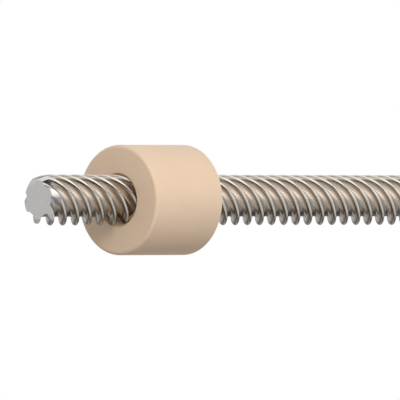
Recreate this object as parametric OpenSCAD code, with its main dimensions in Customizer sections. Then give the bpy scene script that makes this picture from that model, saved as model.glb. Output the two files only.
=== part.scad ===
// Lead screw nut: a plain round plastic nut on the steel screw that it runs on.
// A six-start, right-hand, high-helix thread turns the screw's rotation into travel.
// The origin is the centre of the nut, on the screw's axis, and the screw lies along X.

/* [Nut] */
// Outside diameter of the nut
nut_d = 26; // [20:0.5:40]
// Length of the nut
nut_len = 22; // [14:0.5:40]
// Radius of the rounded outer rims
nut_rim_r = 0.8; // [0.3:0.1:2]
// Diameter of the countersink at each mouth of the bore
mouth_d = 12.8; // [12.5:0.1:14]

/* [Screw] */
// Diameter over the crests of the screw thread
screw_d = 12; // [9:0.5:12]
// Length of screw that stands out in front of the nut
front_len = 26.5; // [5:0.5:60]
// Length of screw that runs on behind the nut
back_len = 101.5; // [60:0.5:110]
// Size of the 45 degree chamfer on each end of the screw
end_chamfer = 1.45; // [0.2:0.05:1.9]

/* [Thread] */
// Travel in one turn of the screw
lead = 25; // [20:0.5:30]
// Number of starts
starts = 6; // [4:1:6]
// Depth of the screw thread, from crest to root
thread_depth = 1.95; // [1:0.05:2.2]
// Drop from the crest to the shoulder where the tooth's flank begins
shoulder_drop = 0.45; // [0.1:0.05:0.8]
// Width of a tooth across its crest, as an angle about the axis
crest_angle = 8; // [4:1:12]
// Width of a tooth across its shoulders, as an angle about the axis
shoulder_angle = 18; // [14:1:22]
// Width of a tooth at its root, as an angle about the axis
root_angle = 29; // [24:1:36]
// Clearance between the threads of the nut and the screw
thread_gap = 0.12; // [0.08:0.02:0.2]
// Angle about the axis of one crest, at the nut's centre
thread_phase = 34; // [0:1:59]

/* [Hidden] */
slices_per_turn = 24;
slice_len = lead / slices_per_turn;
crest_r = screw_d / 2;
root_r = crest_r - thread_depth;
pitch_r = (crest_r + root_r) / 2;
screw_len = front_len + nut_len + back_len;
screw_start = -nut_len / 2 - front_len;

// Half outline of one tooth, from its crest to its root, as [angle, radius]
function tooth_side(gap) = let(grow = gap / pitch_r * 180 / PI) [
    [crest_angle / 2 + grow, crest_r + gap],
    [shoulder_angle / 2 + grow, crest_r - shoulder_drop + gap],
    [root_angle / 2 + grow, root_r + gap]
];

// Whole outline of one tooth: the side and its mirror image, from root to root
function tooth(gap) = let(side = tooth_side(gap), last = len(side) - 1) [
    for (i = [last : -1 : 0]) [-side[i][0], side[i][1]],
    for (i = [0 : last]) side[i]
];

// Cross-section of the thread with all its starts, as it is at the nut's centre
module thread_section(gap) {
    polygon([
        for (start = [0 : starts - 1], p = tooth(gap))
            let(a = thread_phase + start * 360 / starts + p[0]) p[1] * [cos(a), sin(a)]
    ]);
}

// Thread along X, in whole slices counted from the front end of the screw
module thread_run(first_slice, last_slice, gap = 0) {
    slices = last_slice - first_slice;
    x = screw_start + first_slice * slice_len;
    translate([x, 0, 0]) rotate([90, 0, 90]) rotate([0, 0, x / lead * 360])
        linear_extrude(
            height = slices * slice_len,
            twist = -slices * 360 / slices_per_turn,
            slices = slices,
            segments = starts * len(tooth(gap))
        ) thread_section(gap);
}

// The bar that the screw is cut from, a little over its crests, with a chamfer on each end
module screw_blank() {
    bar_r = crest_r + thread_gap;
    flat_r = crest_r - end_chamfer;
    chamfer = bar_r - flat_r;
    translate([screw_start, 0, 0]) rotate([90, 0, 90]) rotate_extrude($fn = 48)
        polygon([
            [0, 0], [flat_r, 0], [bar_r, chamfer],
            [bar_r, screw_len - chamfer], [flat_r, screw_len], [0, screw_len]
        ]);
}

// Outer form of the nut: a cylinder whose two rims are rounded
module nut_body() {
    rotate([90, 0, 90]) rotate_extrude($fn = 96) {
        translate([0, -nut_len / 2]) square([nut_d / 2 - nut_rim_r, nut_len]);
        translate([0, nut_rim_r - nut_len / 2]) square([nut_d / 2, nut_len - 2 * nut_rim_r]);
        for (side = [-1, 1])
            translate([nut_d / 2 - nut_rim_r, side * (nut_len / 2 - nut_rim_r)])
                circle(r = nut_rim_r, $fn = 48);
    }
}

// Countersink at both mouths of the bore, down to the nut's own thread crests
module mouths() {
    depth = mouth_d / 2 - root_r;
    for (side = [-1, 1])
        translate([side * nut_len / 2, 0, 0]) rotate([0, -side * 90, 0]) translate([0, 0, -1])
            cylinder(r1 = mouth_d / 2 + 1, r2 = root_r, h = depth + 1, $fn = 96);
}

module lead_screw() {
    color("silver") intersection() {
        thread_run(0, ceil(screw_len / slice_len));
        screw_blank();
    }
}

module nut() {
    color("tan") difference() {
        nut_body();
        thread_run(floor(front_len / slice_len) - 1, ceil((front_len + nut_len) / slice_len) + 1, thread_gap);
        mouths();
    }
}

lead_screw();
nut();
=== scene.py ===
"""A plain round plastic nut on a rolled, six-start steel lead screw, finished for close views.

Lengths are in metres and angles in radians. The screw lies along X, from its short free end at
low X to its long end, the centre of the nut is the origin, and +Z is up.
"""

import math

import bmesh
import bpy
from bpy.props import FloatProperty, FloatVectorProperty, IntProperty, PointerProperty
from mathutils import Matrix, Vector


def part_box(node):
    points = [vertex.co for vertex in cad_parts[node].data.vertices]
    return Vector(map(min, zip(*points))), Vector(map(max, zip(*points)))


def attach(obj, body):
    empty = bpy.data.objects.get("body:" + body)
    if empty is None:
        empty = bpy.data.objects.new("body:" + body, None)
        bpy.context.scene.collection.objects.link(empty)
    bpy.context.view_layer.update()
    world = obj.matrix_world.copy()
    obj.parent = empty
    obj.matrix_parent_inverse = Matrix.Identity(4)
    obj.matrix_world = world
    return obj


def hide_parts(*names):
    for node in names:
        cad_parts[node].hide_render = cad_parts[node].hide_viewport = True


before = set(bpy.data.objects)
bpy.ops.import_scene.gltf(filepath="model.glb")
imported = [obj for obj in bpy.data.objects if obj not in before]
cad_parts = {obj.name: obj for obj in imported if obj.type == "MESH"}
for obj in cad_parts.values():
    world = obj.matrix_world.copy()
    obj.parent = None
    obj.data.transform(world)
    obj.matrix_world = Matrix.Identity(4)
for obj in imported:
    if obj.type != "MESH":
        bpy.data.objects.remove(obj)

bl_info = {
    "name": "Lead Screw Nut",
    "version": (1, 0, 0),
    "blender": (4, 5, 0),
    "location": "3D View > Sidebar > Lead Screw",
    "description": "Adds a round plastic nut, the rolled steel screw that it runs on, and a studio",
    "category": "Add Mesh",
}

MM = 0.001
SCREW_LOW, SCREW_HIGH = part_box("lead_screw")
NUT_LOW, NUT_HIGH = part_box("nut")

# How finely the round shapes are divided
TURN_SECTIONS = 48
TOOTH_SEGMENTS = 4
RIM_SEGMENTS = 8
SCREW_SIDES = 96
NUT_SIDES = 192
MOUTH_SIDES = 96
FLOOR_SIDES = 96
SMOOTH_ANGLE = math.radians(32)

# How close a point lies to a crest, a root, a tooth's middle or a rim that it belongs to
CREST_SHARE = 0.985
ROOT_SHARE = 1.001
MIDDLE_ANGLE = 1e-4
RIM_GAP = 1e-7

# The range that the noise in the Mottle group mostly fills, and its scale along the thread
MOTTLE_LOW, MOTTLE_HIGH = 0.3, 0.7
STREAK_STRETCH = 0.12
# Settings of a Map Range node that eases in and out
SMOOTH = {"interpolation_type": "SMOOTHSTEP"}

# Depth to which a point of an end counts as lying on its cut face, and what that face adds to
# the roughness
CUT_SKIN = 0.03 * MM
CUT_ROUGHNESS = 0.15
# Painted shade: how bright the middle of a root is beside its flanks.
# Painted highlight: how bright an end's cone is beside its flat face
DEEP_SHADE = 0.45
CONE_HIGHLIGHT = 1.45

# Shares of the floor's radius between which it fades into the background
FADE_START, FADE_END = 0.3, 0.95

# The lamps: direction from the nut, diameter, the property that holds the power, and whether
# the lamp shows in gloss alone or lights colours alone
LAMP_DISTANCE = 0.6
LAMPS = {
    "key_lamp": ((-0.42, -0.74, 0.53), 0.35, "key_power", False),
    "gleam_lamp": ((-0.50, -0.66, 0.55), 0.5, "gleam_power", True),
    "side_lamp": ((0.62, -0.74, 0.13), 0.5, "side_power", True),
}


# Sizes and colours

class ThreadSettings(bpy.types.PropertyGroup):
    """The thread form that the screw and the nut share."""

    lead: FloatProperty(
        name="Lead", description="Travel in one turn of the screw",
        default=25 * MM, min=5 * MM, unit="LENGTH", precision=5)
    starts: IntProperty(
        name="Starts", description="Number of threads that run side by side",
        default=6, min=1, max=8)
    depth: FloatProperty(
        name="Depth", description="Height of a tooth from root to crest",
        default=1.95 * MM, min=0.2 * MM, unit="LENGTH", precision=5)
    shoulder_drop: FloatProperty(
        name="Shoulder Drop", description="Drop from the crest to the shoulder of a tooth",
        default=0.5 * MM, min=0.05 * MM, unit="LENGTH", precision=5)
    crest_angle: FloatProperty(
        name="Crest Width", description="Width of a tooth across its crest, about the axis",
        default=math.radians(7), min=0.01, subtype="ANGLE")
    shoulder_angle: FloatProperty(
        name="Shoulder Width", description="Width of a tooth across its shoulders, about the axis",
        default=math.radians(20), min=0.01, subtype="ANGLE")
    root_angle: FloatProperty(
        name="Root Width", description="Width of a tooth at its root, about the axis",
        default=math.radians(31), min=0.01, subtype="ANGLE")
    phase: FloatProperty(
        name="Phase", description="Angle of one crest about the axis, at the centre of the nut",
        default=math.radians(34), subtype="ANGLE")
    clearance: FloatProperty(
        name="Clearance", description="Gap between the threads of the nut and the screw",
        default=0.12 * MM, min=0.0, unit="LENGTH", precision=5)
    crest_rounding: FloatProperty(
        name="Crest Rounding",
        description="Length that the rounding takes off each side of a crest or shoulder corner",
        default=0.35 * MM, min=0.0, unit="LENGTH", precision=5)
    root_rounding: FloatProperty(
        name="Root Rounding",
        description="Length that the rounding takes off each side of a root corner",
        default=0.35 * MM, min=0.0, unit="LENGTH", precision=5)


class ScrewSettings(bpy.types.PropertyGroup):
    """The rolled steel screw."""

    diameter: FloatProperty(
        name="Diameter", description="Diameter over the thread crests",
        default=SCREW_HIGH.z - SCREW_LOW.z, min=2 * MM, unit="LENGTH", precision=5)
    chamfer: FloatProperty(
        name="End Chamfer", description="Size of the 45 degree chamfer on each end",
        default=1.45 * MM, min=0.1 * MM, unit="LENGTH", precision=5)
    seam_depth: FloatProperty(
        name="Seam Depth", description="Depth of the seam that rolling leaves along each crest",
        default=0.15 * MM, min=0.0, unit="LENGTH", precision=5)
    # The crest colour is also painted along each root corner as a highlight
    crest_colour: FloatVectorProperty(
        name="Crest Colour", description="Colour of the bright steel on the crests",
        default=(0.78, 0.735, 0.675), min=0.0, max=1.0, subtype="COLOR")
    root_colour: FloatVectorProperty(
        name="Root Colour", description="Colour of the duller steel in the roots",
        default=(0.81, 0.73, 0.645), min=0.0, max=1.0, subtype="COLOR")
    # Painted shade: the dark band on the flanks beside each crest
    flank_shade_colour: FloatVectorProperty(
        name="Flank Shade Colour", description="Colour of the dark film beside each crest",
        default=(0.30, 0.26, 0.21), min=0.0, max=1.0, subtype="COLOR")
    end_colour: FloatVectorProperty(
        name="End Colour", description="Colour of the freshly cut steel on the ends",
        default=(0.52, 0.503, 0.492), min=0.0, max=1.0, subtype="COLOR")


class NutSettings(bpy.types.PropertyGroup):
    """The plastic nut."""

    diameter: FloatProperty(
        name="Diameter", description="Outside diameter",
        default=NUT_HIGH.z - NUT_LOW.z, min=5 * MM, unit="LENGTH", precision=5)
    length: FloatProperty(
        name="Length", description="Length along the screw",
        default=NUT_HIGH.x - NUT_LOW.x, min=2 * MM, unit="LENGTH", precision=5)
    rim_radius: FloatProperty(
        name="Rim Radius", description="Radius of the two rounded outer rims",
        default=0.8 * MM, min=0.05 * MM, unit="LENGTH", precision=5)
    mouth_diameter: FloatProperty(
        name="Mouth Diameter", description="Diameter of the countersink at each end of the bore",
        default=12.8 * MM, min=2 * MM, unit="LENGTH", precision=5)
    colour: FloatVectorProperty(
        name="Colour", description="Colour of the plastic",
        default=(0.80, 0.595, 0.425), min=0.0, max=1.0, subtype="COLOR")


class StudioSettings(bpy.types.PropertyGroup):
    """The camera, the floor, the cards and the light."""

    view_azimuth: FloatProperty(
        name="View Azimuth", description="Direction that the camera stands in, round the object",
        default=math.radians(-46), subtype="ANGLE")
    view_distance: FloatProperty(
        name="View Distance", description="Distance from the camera to the middle of its picture",
        default=3.4, min=0.2, unit="LENGTH")
    view_width: FloatProperty(
        name="View Width", description="Width of what the camera takes in at the nut",
        default=94.3 * MM, min=10 * MM, unit="LENGTH", precision=5)
    view_shift: FloatProperty(
        name="View Shift", description="How far to the right of the nut the picture's middle lies",
        default=11.75 * MM, unit="LENGTH", precision=5)
    floor_drop: FloatProperty(
        name="Floor Drop", description="Depth of the floor below the axis of the screw",
        default=60 * MM, min=15 * MM, unit="LENGTH")
    floor_size: FloatProperty(
        name="Floor Size", description="Radius at which the floor has faded into the background",
        default=0.4, min=0.1, unit="LENGTH")
    floor_colour: FloatVectorProperty(
        name="Floor Colour", description="Colour of the floor under the object",
        default=(0.56, 0.56, 0.555), min=0.0, max=1.0, subtype="COLOR")
    floor_lift: FloatProperty(
        name="Floor Lift", description="Share of white that the camera sees in the floor",
        default=0.5, min=0.0, max=1.0)
    floor_gleam: FloatProperty(
        name="Floor Gleam", description="Share of white that bright metal sees in the floor",
        default=0.35, min=0.0, max=1.0)
    front_colour: FloatVectorProperty(
        name="Front Card Colour", description="Colour of the dark card before the object",
        default=(0.04, 0.035, 0.03), min=0.0, max=1.0, subtype="COLOR")
    front_distance: FloatProperty(
        name="Front Card Distance", description="Distance from the nut to the front card",
        default=0.12, min=0.1, unit="LENGTH")
    front_width: FloatProperty(
        name="Front Card Width", description="Width of the front card",
        default=0.3, min=0.01, unit="LENGTH")
    front_height: FloatProperty(
        name="Front Card Height", description="Height of the front card",
        default=50 * MM, min=0.01, unit="LENGTH")
    front_drop: FloatProperty(
        name="Front Card Drop", description="Depth of its middle below the screw's axis",
        default=4 * MM, unit="LENGTH")
    under_colour: FloatVectorProperty(
        name="Under Card Colour", description="Colour of the dark card under the object",
        default=(0.22, 0.22, 0.22), min=0.0, max=1.0, subtype="COLOR")
    under_length: FloatProperty(
        name="Under Card Length", description="Length of the under card, along the screw",
        default=0.2, min=0.01, unit="LENGTH")
    under_width: FloatProperty(
        name="Under Card Width", description="Width of the under card, across the screw",
        default=50 * MM, min=0.01, unit="LENGTH")
    under_along: FloatProperty(
        name="Under Card Along", description="How far along the screw its middle is",
        default=40 * MM, unit="LENGTH")
    under_shift: FloatProperty(
        name="Under Card Shift", description="How far behind the screw its middle is",
        default=20 * MM, unit="LENGTH")
    under_lift: FloatProperty(
        name="Under Card Lift", description="Height of the under card above the floor",
        default=1 * MM, min=0.1 * MM, unit="LENGTH", precision=5)
    fill_strength: FloatProperty(
        name="Fill Strength", description="Strength of the even light from all sides",
        default=0.42, min=0.0)
    key_power: FloatProperty(
        name="Key Power", description="Power of the main lamp, which lights the colours, in watts",
        default=2.4, min=0.0)
    gleam_power: FloatProperty(
        name="Gleam Power", description="Power of the lamp that only gloss shows, in watts",
        default=0.45, min=0.0)
    side_power: FloatProperty(
        name="Side Power", description="Power of the second such lamp, on the right, in watts",
        default=0.42, min=0.0)


# Modelling

def start_clean():
    """Leave edit mode and deselect everything, so that the next operator acts on new work only."""
    if bpy.context.object and bpy.context.object.mode != "OBJECT":
        bpy.ops.object.mode_set(mode="OBJECT")
    bpy.ops.object.select_all(action="DESELECT")


def activate(piece):
    """Make one piece the only selected and active object."""
    start_clean()
    piece.select_set(True)
    bpy.context.view_layer.objects.active = piece


def new_piece(name):
    """Name the object that a primitive operator has just added, and put its place in its mesh."""
    piece = bpy.context.object
    piece.name = name
    piece.data.name = name
    bpy.ops.object.transform_apply(location=True, rotation=True, scale=True)
    return piece


def select_points(piece, wanted):
    """Select the vertices of a mesh in edit mode whose place passes the test."""
    mesh = bmesh.from_edit_mesh(piece.data)
    bpy.ops.mesh.select_all(action="DESELECT")
    for point in mesh.verts:
        point.select_set(wanted(point.co))
    mesh.select_flush_mode()
    bmesh.update_edit_mesh(piece.data)


def select_edges(piece, wanted):
    """Select the edges of a mesh in edit mode whose two ends pass the test."""
    mesh = bmesh.from_edit_mesh(piece.data)
    bpy.ops.mesh.select_all(action="DESELECT")
    for edge in mesh.edges:
        edge.select_set(all(wanted(point.co) for point in edge.verts))
    bmesh.update_edit_mesh(piece.data)


def apply_modifier(piece, kind, **settings):
    """Add a modifier to a piece, set it up and apply it."""
    activate(piece)
    bpy.ops.object.modifier_add(type=kind)
    modifier = piece.modifiers[-1]
    for name, value in settings.items():
        setattr(modifier, name, value)
    bpy.ops.object.modifier_apply(modifier=modifier.name)


def cut(piece, tool, operation):
    """Shape a piece with a closed tool body, and remove the tool."""
    apply_modifier(piece, "BOOLEAN", object=tool, operation=operation, solver="MANIFOLD")
    bpy.data.objects.remove(tool)
    if not piece.data.polygons:
        raise RuntimeError(f"Nothing is left of {piece.name} after a cut")


def tooth_corners(thread, crest_radius, gap):
    """Half outline of a tooth, as (angle from its middle, radius), from the crest to the root."""
    root_radius = crest_radius - thread.depth
    grow = gap / ((crest_radius + root_radius) / 2)
    return [
        (thread.crest_angle / 2 + grow, crest_radius + gap),
        (thread.shoulder_angle / 2 + grow, crest_radius - thread.shoulder_drop + gap),
        (thread.root_angle / 2 + grow, root_radius + gap),
    ]


def add_thread(name, thread, crest_radius, start, end, gap=0.0, seam_depth=0.0):
    """Add a closed bar of thread along X, with every start and a tooth outline grown by gap."""
    corners = tooth_corners(thread, crest_radius, gap)
    pitch = 2 * math.pi / thread.starts
    step = pitch / (2 * len(corners))
    root_radius = corners[-1][1]

    def from_crest(place):
        """Angle of a place from the middle of the nearest tooth."""
        return (math.atan2(place.z, place.y) + pitch / 2) % pitch - pitch / 2

    def is_root(place):
        return math.hypot(place.y, place.z) < root_radius * ROOT_SHARE

    def is_crest(place):
        return math.hypot(place.y, place.z) > crest_radius * CREST_SHARE

    # A ring of points, as many as all the teeth have corners, with a tooth's middle at angle 0
    start_clean()
    bpy.ops.mesh.primitive_circle_add(
        vertices=thread.starts * 2 * len(corners), radius=root_radius,
        rotation=(0, math.pi / 2, 0))
    piece = new_piece(name)
    piece.rotation_euler.x = step / 2
    bpy.ops.object.transform_apply(rotation=True)

    # Each corner is turned to its angle and drawn out to its radius
    bpy.ops.object.mode_set(mode="EDIT")
    for count, (angle, radius) in enumerate(corners):
        now = (count + 0.5) * step
        for side in (-1, 1):
            select_points(piece, lambda place: is_root(place)
                          and abs(from_crest(place) - side * now) < step / 4)
            # In edit mode the operator turns clockwise for a positive value
            bpy.ops.transform.rotate(
                value=-side * (angle - now), orient_axis="X", center_override=(0, 0, 0))
            grow = radius / root_radius
            bpy.ops.transform.resize(value=(1, grow, grow), center_override=(0, 0, 0))

    # Rounded crests, shoulders and roots
    select_points(piece, lambda place: not is_root(place))
    bpy.ops.mesh.bevel(
        offset=thread.crest_rounding, segments=TOOTH_SEGMENTS, affect="VERTICES")
    select_points(piece, is_root)
    bpy.ops.mesh.bevel(
        offset=thread.root_rounding, segments=TOOTH_SEGMENTS, affect="VERTICES")

    # The rolling seam: the middle of each crest is divided, and its centre point pushed in
    if seam_depth:
        half_crest = corners[0][0]
        flats = [edge for edge in bmesh.from_edit_mesh(piece.data).edges
                 if all(is_crest(point.co) and abs(from_crest(point.co)) < half_crest
                        for point in edge.verts)
                 and from_crest(edge.verts[0].co) * from_crest(edge.verts[1].co) < 0]
        bpy.ops.mesh.select_all(action="DESELECT")
        for edge in flats:
            edge.select_set(True)
        bmesh.update_edit_mesh(piece.data)
        bpy.ops.mesh.subdivide(number_cuts=1)
        select_points(piece, lambda place: is_crest(place)
                      and abs(from_crest(place)) < MIDDLE_ANGLE)
        sink = 1 - seam_depth / crest_radius
        bpy.ops.transform.resize(value=(1, sink, sink), center_override=(0, 0, 0))
    bpy.ops.object.mode_set(mode="OBJECT")

    # The outline winds along X, and both open ends are closed
    turns = (end - start) / thread.lead
    rings = math.ceil(turns * TURN_SECTIONS)
    apply_modifier(
        piece, "SCREW", axis="X", angle=turns * 2 * math.pi, screw_offset=end - start,
        steps=rings, render_steps=rings, use_smooth_shade=True)
    bpy.ops.object.mode_set(mode="EDIT")
    bpy.ops.mesh.select_all(action="DESELECT")
    bpy.ops.mesh.select_non_manifold(extend=False)
    bpy.ops.mesh.fill_holes(sides=0)
    bpy.ops.mesh.select_all(action="SELECT")
    bpy.ops.mesh.normals_make_consistent(inside=False)
    bpy.ops.object.mode_set(mode="OBJECT")
    piece.rotation_euler.x = thread.phase + start / thread.lead * 2 * math.pi
    piece.location.x = start
    bpy.ops.object.transform_apply(location=True, rotation=True)
    return piece


def add_round_bar(name, radius, start, end, sides, edge_size, edge_segments):
    """Add a round bar along X, with both rims bevelled."""
    start_clean()
    bpy.ops.mesh.primitive_cylinder_add(
        vertices=sides, radius=radius, depth=end - start,
        location=((start + end) / 2, 0, 0), rotation=(0, math.pi / 2, 0))
    piece = new_piece(name)
    bpy.ops.object.mode_set(mode="EDIT")
    for rim in (start, end):
        select_edges(piece, lambda place: abs(place.x - rim) < RIM_GAP)
        bpy.ops.mesh.bevel(offset=edge_size, segments=edge_segments, affect="EDGES")
    bpy.ops.object.mode_set(mode="OBJECT")
    return piece


def finish_surface(piece, material, body, node):
    """Shade a piece, give it its material, and seat it on the body whose solid it stands for."""
    activate(piece)
    bpy.ops.object.shade_smooth_by_angle(angle=SMOOTH_ANGLE)
    piece.data.materials.clear()
    piece.data.materials.append(material)
    for face in piece.data.polygons:
        face.material_index = 0
    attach(piece, body)
    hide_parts(node)


# Materials

def add_node(tree, kind, place, settings=None, values=None):
    """Add a shader node, with its own settings and the values of its free inputs."""
    node = tree.nodes.new(kind)
    node.location = place
    for name, value in (settings or {}).items():
        setattr(node, name, value)
    for name, value in (values or {}).items():
        node.inputs[name].default_value = value
    return node


def new_group(name, inputs, outputs):
    """Make an empty shader node group, and return it with its input and output nodes."""
    group = bpy.data.node_groups.new(name, "ShaderNodeTree")
    for label, kind, default in inputs:
        socket = group.interface.new_socket(name=label, in_out="INPUT", socket_type=kind)
        if default is not None:
            socket.default_value = default
    for label, kind in outputs:
        group.interface.new_socket(name=label, in_out="OUTPUT", socket_type=kind)
    entry = add_node(group, "NodeGroupInput", (-900, 0))
    leave = add_node(group, "NodeGroupOutput", (700, 0))
    return group, entry, leave


def place_group(tree, name, place, values=None):
    """Put a node group into a material."""
    group = bpy.data.node_groups[name]
    return add_node(tree, "ShaderNodeGroup", place, {"node_tree": group}, values)


def make_mottle_group():
    """Soft cloudy variation with finer specks in it, from 0 to 1 about 0.5."""
    group, entry, leave = new_group(
        "Mottle",
        [("Vector", "NodeSocketVector", None), ("Size", "NodeSocketFloat", 5 * MM)],
        [("Value", "NodeSocketFloat")])
    scale = add_node(group, "ShaderNodeMath", (-650, -120), {"operation": "DIVIDE"}, {0: 1.0})
    noise = add_node(group, "ShaderNodeTexNoise", (-400, 0), None, {
        "Detail": 5.0, "Roughness": 0.6})
    group.links.new(entry.outputs["Size"], scale.inputs[1])
    group.links.new(entry.outputs["Vector"], noise.inputs["Vector"])
    group.links.new(scale.outputs[0], noise.inputs["Scale"])
    group.links.new(noise.outputs["Fac"], leave.inputs["Value"])


def make_turned_group():
    """Fine tool marks of a lathe that turned the piece about the X axis."""
    group, entry, leave = new_group(
        "Turned Marks",
        [("Vector", "NodeSocketVector", None), ("Spacing", "NodeSocketFloat", 0.2 * MM)],
        [("On Sides", "NodeSocketFloat"), ("On Ends", "NodeSocketFloat")])
    parts = add_node(group, "ShaderNodeSeparateXYZ", (-700, 0))
    flat = add_node(group, "ShaderNodeVectorMath", (-700, -200), {"operation": "MULTIPLY"})
    flat.inputs[1].default_value = (0, 1, 1)
    radius = add_node(group, "ShaderNodeVectorMath", (-500, -200), {"operation": "LENGTH"})
    group.links.new(entry.outputs["Vector"], parts.inputs[0])
    group.links.new(entry.outputs["Vector"], flat.inputs[0])
    group.links.new(flat.outputs[0], radius.inputs[0])
    for label, source, height in (("On Sides", parts.outputs["X"], 100),
                                  ("On Ends", radius.outputs["Value"], -200)):
        count = add_node(group, "ShaderNodeMath", (-250, height), {"operation": "DIVIDE"})
        noise = add_node(group, "ShaderNodeTexNoise", (0, height), {"noise_dimensions": "1D"},
                         {"Scale": 1.0, "Detail": 3.0, "Roughness": 0.7})
        group.links.new(source, count.inputs[0])
        group.links.new(entry.outputs["Spacing"], count.inputs[1])
        group.links.new(count.outputs[0], noise.inputs["W"])
        group.links.new(noise.outputs["Fac"], leave.inputs[label])


def make_unwound_group():
    """Object coordinates turned back along the helix, so that they stay the same along a thread."""
    group, entry, leave = new_group(
        "Unwound",
        [("Vector", "NodeSocketVector", None), ("Lead", "NodeSocketFloat", 25 * MM)],
        [("Vector", "NodeSocketVector")])
    parts = add_node(group, "ShaderNodeSeparateXYZ", (-700, -150))
    turns = add_node(group, "ShaderNodeMath", (-500, -150), {"operation": "DIVIDE"})
    angle = add_node(group, "ShaderNodeMath", (-300, -150), {"operation": "MULTIPLY"}, {
        1: -2 * math.pi})
    back = add_node(group, "ShaderNodeVectorRotate", (0, 0), {"rotation_type": "X_AXIS"})
    group.links.new(entry.outputs["Vector"], parts.inputs[0])
    group.links.new(parts.outputs["X"], turns.inputs[0])
    group.links.new(entry.outputs["Lead"], turns.inputs[1])
    group.links.new(turns.outputs[0], angle.inputs[0])
    group.links.new(angle.outputs[0], back.inputs["Angle"])
    group.links.new(entry.outputs["Vector"], back.inputs["Vector"])
    group.links.new(back.outputs[0], leave.inputs["Vector"])


def new_material(name):
    """Make a material with a Principled shader and object coordinates, and return all three."""
    material = bpy.data.materials.new(name)
    material.use_nodes = True
    tree = material.node_tree
    shader = tree.nodes["Principled BSDF"]
    coordinates = add_node(tree, "ShaderNodeTexCoord", (-1500, 0))
    return material, tree, shader, coordinates.outputs["Object"]


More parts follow.
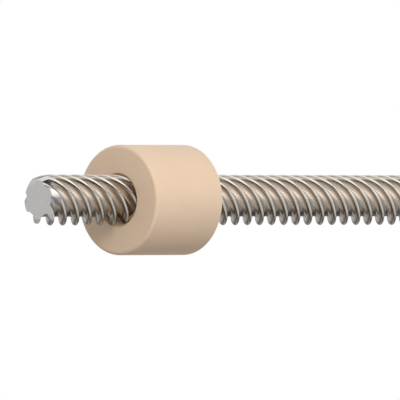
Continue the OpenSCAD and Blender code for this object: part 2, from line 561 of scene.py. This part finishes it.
def make_steel(screw, thread):
    """Bright rolled steel: painted shade and highlights on the teeth and end cones, dull roots,
    freshly cut ends.
    """
    material, tree, shader, place = new_material("rolled_steel")
    link = tree.links.new
    shader.inputs["Metallic"].default_value = 1.0
    # Keeps edges that are seen almost along the surface from turning white
    shader.inputs["Specular Tint"].default_value = (0.4, 0.4, 0.4, 1)
    shader.location = (900, 0)

    def math_node(kind, place, *values):
        """A Math node, each of whose inputs is a number or another node's output."""
        node = add_node(tree, "ShaderNodeMath", place, {"operation": kind})
        for socket, value in zip(node.inputs, values):
            if isinstance(value, (int, float)):
                socket.default_value = value
            else:
                link(value, socket)
        return node.outputs[0]

    # Where a point lies on the thread: 0 on a crest, 1 half way between two teeth
    unwound = place_group(tree, "Unwound", (-1300, 0), {"Lead": thread.lead})
    parts = add_node(tree, "ShaderNodeSeparateXYZ", (-1100, 300))
    link(place, unwound.inputs["Vector"])
    link(unwound.outputs[0], parts.inputs[0])
    half_pitch = math.pi / thread.starts
    turn = math_node("ARCTAN2", (-900, 300), parts.outputs["Z"], parts.outputs["Y"])
    turn = math_node("SUBTRACT", (-700, 300), turn, thread.phase)
    turn = math_node("PINGPONG", (-500, 300), turn, half_pitch)
    across = math_node("DIVIDE", (-300, 300), turn, half_pitch)

    # Streaks that run along the thread
    stretch = add_node(tree, "ShaderNodeVectorMath", (-1100, 0), {"operation": "MULTIPLY"})
    stretch.inputs[1].default_value = (STREAK_STRETCH, 1, 1)
    streaks = place_group(tree, "Mottle", (-900, 0), {"Size": 0.35 * MM})
    link(unwound.outputs[0], stretch.inputs[0])
    link(stretch.outputs[0], streaks.inputs["Vector"])

    # The ends: a flat face, and a cone whose radius grows with the distance from the end
    middle, half_length = (SCREW_LOW.x + SCREW_HIGH.x) / 2, (SCREW_HIGH.x - SCREW_LOW.x) / 2
    face_radius = screw.diameter / 2 - screw.chamfer
    flat = add_node(tree, "ShaderNodeVectorMath", (-1100, -300), {"operation": "MULTIPLY"})
    flat.inputs[1].default_value = (0, 1, 1)
    radius = add_node(tree, "ShaderNodeVectorMath", (-900, -300), {"operation": "LENGTH"})
    link(place, flat.inputs[0])
    link(flat.outputs[0], radius.inputs[0])
    along = math_node("SUBTRACT", (-900, -500), parts.outputs["X"], middle)
    along = math_node("ABSOLUTE", (-700, -500), along)
    inward = math_node("SUBTRACT", (-500, -500), half_length, along)
    cone = math_node("SUBTRACT", (-700, -300), radius.outputs["Value"], face_radius)
    cone = math_node("MAXIMUM", (-500, -300), cone, 0)
    depth = math_node("SUBTRACT", (-300, -400), inward, cone)
    cut_face = math_node("LESS_THAN", (-100, -400), depth, CUT_SKIN)
    by_cone = math_node("GREATER_THAN", (-300, -600), inward, CUT_SKIN)
    by_cone = math_node("MULTIPLY", (100, -600), by_cone, cut_face)
    # From 0 on the thread to 1 near the end, over part of the chamfer's length
    by_end = add_node(tree, "ShaderNodeMapRange", (-100, -600), SMOOTH, {
        "From Min": screw.chamfer * 1.5, "From Max": screw.chamfer * 0.8})
    link(inward, by_end.inputs["Value"])

    # The colours across a tooth and the root beside it, from the middle of the crest outwards:
    # painted shade beside the crest and in the middle of the root, and a painted highlight in
    # the crest's colour along the root corner
    shoulder = thread.shoulder_angle / 2 / half_pitch
    corner = thread.root_angle / 2 / half_pitch
    deep_shade_colour = [DEEP_SHADE * part for part in screw.root_colour]
    stops = (
        (0.0, screw.crest_colour), (shoulder * 0.5, screw.crest_colour),
        (shoulder * 0.7, screw.flank_shade_colour), (shoulder * 0.9, screw.flank_shade_colour),
        (shoulder * 1.25, screw.root_colour), (corner * 0.92, screw.root_colour),
        (corner, screw.crest_colour), (corner * 1.1, screw.crest_colour),
        (corner * 1.25, deep_shade_colour))
    bands = add_node(tree, "ShaderNodeValToRGB", (-100, 400))
    elements = bands.color_ramp.elements
    for count, (where, colour) in enumerate(stops):
        stop = elements[count] if count < 2 else elements.new(where)
        stop.position = where
        stop.color = (*colour, 1)
    link(across, bands.inputs[0])

    # Cut steel on the ends, with a painted highlight on their cones, and lighter and darker streaks
    # over all
    tint = add_node(tree, "ShaderNodeMix", (250, 300), {"data_type": "RGBA"})
    tint.inputs["B"].default_value = (*screw.end_colour, 1)
    link(by_end.outputs[0], tint.inputs["Factor"])
    link(bands.outputs[0], tint.inputs["A"])
    cone_highlight_mix = add_node(tree, "ShaderNodeMix", (350, 500), {"data_type": "RGBA"})
    cone_highlight_mix.inputs["B"].default_value = (*[CONE_HIGHLIGHT * part for part in screw.end_colour], 1)
    link(by_cone, cone_highlight_mix.inputs["Factor"])
    link(tint.outputs["Result"], cone_highlight_mix.inputs["A"])
    shade = add_node(tree, "ShaderNodeMapRange", (250, 50), None, {
        "From Min": MOTTLE_LOW, "From Max": MOTTLE_HIGH, "To Min": 0.86, "To Max": 1.1})
    colour = add_node(tree, "ShaderNodeVectorMath", (500, 300), {"operation": "SCALE"})
    link(streaks.outputs[0], shade.inputs["Value"])
    link(cone_highlight_mix.outputs["Result"], colour.inputs[0])
    link(shade.outputs[0], colour.inputs["Scale"])
    link(colour.outputs[0], shader.inputs["Base Color"])

    rough = add_node(tree, "ShaderNodeMapRange", (250, -150), None, {
        "From Min": MOTTLE_LOW, "From Max": MOTTLE_HIGH, "To Min": 0.14, "To Max": 0.26})
    link(streaks.outputs[0], rough.inputs["Value"])
    rough = math_node("MULTIPLY_ADD", (500, -150), cut_face, CUT_ROUGHNESS, rough.outputs[0])
    link(rough, shader.inputs["Roughness"])

    marks = place_group(tree, "Turned Marks", (-500, -700), {"Spacing": 0.12 * MM})
    height = add_node(tree, "ShaderNodeMix", (250, -400))
    bump = add_node(tree, "ShaderNodeBump", (600, -400), None, {
        "Strength": 0.35, "Distance": 0.02 * MM})
    link(place, marks.inputs["Vector"])
    link(cut_face, height.inputs["Factor"])
    link(streaks.outputs[0], height.inputs["A"])
    link(marks.outputs["On Ends"], height.inputs["B"])
    link(height.outputs["Result"], bump.inputs["Height"])
    link(bump.outputs[0], shader.inputs["Normal"])
    return material


def make_plastic(nut):
    """Satin engineering plastic, turned on a lathe: even colour, faint marks and a soft bloom."""
    material, tree, shader, place = new_material("satin_plastic")
    link = tree.links.new
    shader.inputs["Specular IOR Level"].default_value = 0.4
    shader.location = (600, 0)

    clouds = place_group(tree, "Mottle", (-1200, 200), {"Size": 9 * MM})
    specks = place_group(tree, "Mottle", (-1200, 0), {"Size": 0.4 * MM})
    marks = place_group(tree, "Turned Marks", (-1200, -200), {"Spacing": 0.25 * MM})
    for group in (clouds, specks, marks):
        link(place, group.inputs["Vector"])

    blend = add_node(tree, "ShaderNodeMath", (-900, 100), {"operation": "MULTIPLY_ADD"}, {1: 0.4})
    shade = add_node(tree, "ShaderNodeMapRange", (-700, 100), None, {
        "From Min": 0.4, "From Max": 1.0, "To Min": 0.97, "To Max": 1.03})
    colour = add_node(tree, "ShaderNodeVectorMath", (-400, 200), {"operation": "SCALE"})
    colour.inputs[0].default_value = nut.colour
    link(specks.outputs[0], blend.inputs[0])
    link(clouds.outputs[0], blend.inputs[2])
    link(blend.outputs[0], shade.inputs["Value"])
    link(shade.outputs[0], colour.inputs["Scale"])
    link(colour.outputs[0], shader.inputs["Base Color"])

    rough = add_node(tree, "ShaderNodeMapRange", (-700, -100), None, {
        "From Min": MOTTLE_LOW, "From Max": MOTTLE_HIGH, "To Min": 0.42, "To Max": 0.52})
    link(specks.outputs[0], rough.inputs["Value"])
    link(rough.outputs[0], shader.inputs["Roughness"])

    both = add_node(tree, "ShaderNodeMath", (-900, -250), {"operation": "ADD"})
    relief = add_node(tree, "ShaderNodeMath", (-700, -250), {"operation": "ADD"})
    bump = add_node(tree, "ShaderNodeBump", (300, -300), None, {
        "Strength": 0.25, "Distance": 0.02 * MM})
    link(marks.outputs["On Sides"], both.inputs[0])
    link(marks.outputs["On Ends"], both.inputs[1])
    link(both.outputs[0], relief.inputs[0])
    link(specks.outputs[0], relief.inputs[1])
    link(relief.outputs[0], bump.inputs["Height"])
    link(bump.outputs[0], shader.inputs["Normal"])
    return material


def add_seeing_rays(tree):
    """Add what is 1 for camera, glossy and transmission rays, and return it with the rays."""
    rays = add_node(tree, "ShaderNodeLightPath", (-900, 400))
    seen = rays.outputs["Is Camera Ray"]
    for place, label in (((-700, 400), "Is Glossy Ray"), ((-500, 400), "Is Transmission Ray")):
        either = add_node(tree, "ShaderNodeMath", place, {"operation": "MAXIMUM"})
        tree.links.new(seen, either.inputs[0])
        tree.links.new(rays.outputs[label], either.inputs[1])
        seen = either.outputs[0]
    return seen, rays


def make_floor_material(studio):
    """A pale floor that keeps shadows near the object and fades into the white background."""
    material = bpy.data.materials.new("pale_floor")
    material.use_nodes = True
    tree = material.node_tree
    tree.nodes.remove(tree.nodes["Principled BSDF"])
    link = tree.links.new
    place = add_node(tree, "ShaderNodeTexCoord", (-1200, 0))
    away = add_node(tree, "ShaderNodeVectorMath", (-1000, 0), {"operation": "LENGTH"})
    fade = add_node(tree, "ShaderNodeMapRange", (-800, 0), SMOOTH, {
        "From Min": studio.floor_size * FADE_START, "From Max": studio.floor_size * FADE_END,
        "To Min": studio.floor_gleam})
    seen, rays = add_seeing_rays(tree)
    far = add_node(tree, "ShaderNodeMath", (-300, 300), {"operation": "MULTIPLY"})
    near = add_node(tree, "ShaderNodeMath", (-300, 500), {"operation": "MULTIPLY"}, {
        1: studio.floor_lift})
    share = add_node(tree, "ShaderNodeMath", (-100, 400), {"operation": "MAXIMUM"})
    paint = add_node(tree, "ShaderNodeBsdfDiffuse", (-300, 100), None, {
        "Color": (*studio.floor_colour, 1)})
    white = add_node(tree, "ShaderNodeEmission", (-300, -100), None, {"Strength": 1.0})
    mix = add_node(tree, "ShaderNodeMixShader", (100, 0))
    link(place.outputs["Object"], away.inputs[0])
    link(away.outputs["Value"], fade.inputs["Value"])
    link(fade.outputs[0], far.inputs[0])
    link(seen, far.inputs[1])
    link(rays.outputs["Is Camera Ray"], near.inputs[0])
    link(far.outputs[0], share.inputs[0])
    link(near.outputs[0], share.inputs[1])
    link(share.outputs[0], mix.inputs[0])
    link(paint.outputs[0], mix.inputs[1])
    link(white.outputs[0], mix.inputs[2])
    link(mix.outputs[0], tree.nodes["Material Output"].inputs["Surface"])
    return material


def make_card_material(name, colour):
    """Dull painted card."""
    material = bpy.data.materials.new(name)
    material.use_nodes = True
    shader = material.node_tree.nodes["Principled BSDF"]
    shader.inputs["Base Color"].default_value = (*colour, 1)
    shader.inputs["Roughness"].default_value = 0.8
    return material


def make_world(studio):
    """Even fill light, with white wherever the background itself is seen."""
    world = bpy.context.scene.world or bpy.data.worlds.new("studio")
    bpy.context.scene.world = world
    world.use_nodes = True
    tree = world.node_tree
    tree.nodes.clear()
    fill = add_node(tree, "ShaderNodeBackground", (0, 100), None, {
        "Strength": studio.fill_strength})
    white = add_node(tree, "ShaderNodeBackground", (0, -100), None, {"Strength": 1.0})
    for shader in (fill, white):
        shader.inputs["Color"].default_value = (1, 1, 1, 1)
    mix = add_node(tree, "ShaderNodeMixShader", (250, 0))
    leave = add_node(tree, "ShaderNodeOutputWorld", (500, 0))
    seen, _ = add_seeing_rays(tree)
    tree.links.new(seen, mix.inputs[0])
    tree.links.new(fill.outputs[0], mix.inputs[1])
    tree.links.new(white.outputs[0], mix.inputs[2])
    tree.links.new(mix.outputs[0], leave.inputs["Surface"])


# The stage

def add_card(name, colour, size, place, rotation=(0, 0, 0)):
    """Add a card that only reflections show."""
    start_clean()
    bpy.ops.mesh.primitive_plane_add(size=1, location=place, rotation=rotation)
    bpy.context.object.scale = size
    card = new_piece(name)
    card.data.materials.append(make_card_material(name, colour))
    card.visible_camera = card.visible_diffuse = card.visible_shadow = False


def add_lamp(name, direction, diameter, power, gloss_only):
    """Add a round soft lamp that faces the nut and lights either gloss or colours."""
    start_clean()
    bpy.ops.object.light_add(type="AREA", location=[LAMP_DISTANCE * part for part in direction])
    lamp = bpy.context.object
    lamp.name = name
    lamp.data.shape = "DISK"
    lamp.data.size = diameter
    lamp.data.energy = power
    lamp.rotation_euler = lamp.location.to_track_quat("Z", "Y").to_euler()
    lamp.visible_diffuse = not gloss_only
    lamp.visible_glossy = gloss_only


# Operators

class LEADSCREW_OT_rolled_screw(bpy.types.Operator):
    """Add the rolled steel screw"""

    bl_idname = "leadscrew.rolled_screw"
    bl_label = "Rolled Screw"

    def execute(self, context):
        screw, thread = context.scene.screw, context.scene.thread
        radius = screw.diameter / 2
        spare = 0.5 * MM
        piece = add_thread(
            "rolled_screw", thread, radius, SCREW_LOW.x - spare, SCREW_HIGH.x + spare,
            seam_depth=screw.seam_depth)
        bar_radius = radius + spare
        bar = add_round_bar(
            "screw_bar", bar_radius, SCREW_LOW.x, SCREW_HIGH.x, SCREW_SIDES,
            screw.chamfer + spare, 1)
        cut(piece, bar, "INTERSECT")
        finish_surface(piece, make_steel(screw, thread), "screw", "lead_screw")
        return {"FINISHED"}


class LEADSCREW_OT_plastic_nut(bpy.types.Operator):
    """Add the plastic nut, threaded to fit the screw"""

    bl_idname = "leadscrew.plastic_nut"
    bl_label = "Plastic Nut"

    def execute(self, context):
        nut, thread, screw = context.scene.nut, context.scene.thread, context.scene.screw
        half = nut.length / 2
        piece = add_round_bar(
            "plastic_nut", nut.diameter / 2, -half, half, NUT_SIDES, nut.rim_radius,
            RIM_SEGMENTS)
        spare = 1 * MM
        tap = add_thread(
            "nut_tap", thread, screw.diameter / 2, -half - spare, half + spare,
            gap=thread.clearance)
        cut(piece, tap, "DIFFERENCE")
        # Countersinks at 45 degrees, down to the crests of the nut's own thread
        bore_radius = screw.diameter / 2 - thread.depth
        depth = nut.mouth_diameter / 2 - bore_radius
        for side in (-1, 1):
            start_clean()
            bpy.ops.mesh.primitive_cone_add(
                vertices=MOUTH_SIDES, radius1=nut.mouth_diameter / 2 + spare, radius2=bore_radius,
                depth=depth + spare, location=(side * (half + (spare - depth) / 2), 0, 0),
                rotation=(0, -side * math.pi / 2, 0))
            cut(piece, new_piece("countersink"), "DIFFERENCE")
        finish_surface(piece, make_plastic(nut), "nut", "nut")
        return {"FINISHED"}


class LEADSCREW_OT_studio(bpy.types.Operator):
    """Add the camera, the floor, the cards and the light"""

    bl_idname = "leadscrew.studio"
    bl_label = "Studio"

    def execute(self, context):
        studio = context.scene.studio
        azimuth = studio.view_azimuth
        right = (math.cos(azimuth), math.sin(azimuth), 0)
        towards = (math.sin(azimuth), -math.cos(azimuth), 0)
        upright = (math.pi / 2, 0, azimuth)

        start_clean()
        bpy.ops.object.camera_add(
            location=[studio.view_shift * r + studio.view_distance * t
                      for r, t in zip(right, towards)],
            rotation=upright)
        camera = context.object
        camera.name = "camera"
        camera.data.lens = camera.data.sensor_width * studio.view_distance / studio.view_width
        camera.data.clip_end = studio.view_distance * 10
        context.scene.camera = camera

        start_clean()
        bpy.ops.mesh.primitive_circle_add(
            vertices=FLOOR_SIDES, radius=studio.floor_size, fill_type="NGON",
            location=(0, 0, -studio.floor_drop))
        floor = new_piece("floor")
        floor.data.materials.append(make_floor_material(studio))

        # Dark cards for the bright metal to mirror
        add_card(
            "front_card", studio.front_colour, (studio.front_width, studio.front_height, 1),
            [*[studio.front_distance * t for t in towards[:2]], -studio.front_drop], upright)
        add_card(
            "under_card", studio.under_colour, (studio.under_length, studio.under_width, 1),
            (studio.under_along, studio.under_shift, studio.under_lift - studio.floor_drop))

        make_world(studio)
        for name, (direction, diameter, power, gloss_only) in LAMPS.items():
            add_lamp(name, direction, diameter, getattr(studio, power), gloss_only)
        context.scene.view_settings.view_transform = "Standard"
        return {"FINISHED"}


class LEADSCREW_PT_sidebar(bpy.types.Panel):
    """Lists the pieces and the sizes and colours that a user would change"""

    bl_idname = "LEADSCREW_PT_sidebar"
    bl_label = "Lead Screw Nut"
    bl_space_type = "VIEW_3D"
    bl_region_type = "UI"
    bl_category = "Lead Screw"

    def draw(self, context):
        for title, operator, groups in (
            ("Screw", LEADSCREW_OT_rolled_screw, (context.scene.thread, context.scene.screw)),
            ("Nut", LEADSCREW_OT_plastic_nut, (context.scene.nut,)),
            ("Studio", LEADSCREW_OT_studio, (context.scene.studio,)),
        ):
            box = self.layout.box()
            box.label(text=title)
            for group in groups:
                for name in group.__annotations__:
                    box.prop(group, name)
            box.operator(operator.bl_idname)


CLASSES = (
    ThreadSettings,
    ScrewSettings,
    NutSettings,
    StudioSettings,
    LEADSCREW_OT_rolled_screw,
    LEADSCREW_OT_plastic_nut,
    LEADSCREW_OT_studio,
    LEADSCREW_PT_sidebar,
)


def register():
    for cls in CLASSES:
        bpy.utils.register_class(cls)
    scene = bpy.types.Scene
    scene.thread = PointerProperty(type=ThreadSettings)
    scene.screw = PointerProperty(type=ScrewSettings)
    scene.nut = PointerProperty(type=NutSettings)
    scene.studio = PointerProperty(type=StudioSettings)


def unregister():
    for name in ("thread", "screw", "nut", "studio"):
        delattr(bpy.types.Scene, name)
    for cls in reversed(CLASSES):
        bpy.utils.unregister_class(cls)


def main():
    """Build the object and the studio."""
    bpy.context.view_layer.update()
    register()
    make_mottle_group()
    make_turned_group()
    make_unwound_group()
    bpy.ops.leadscrew.rolled_screw()
    bpy.ops.leadscrew.plastic_nut()
    bpy.ops.leadscrew.studio()


if __name__ == "__main__":
    main()
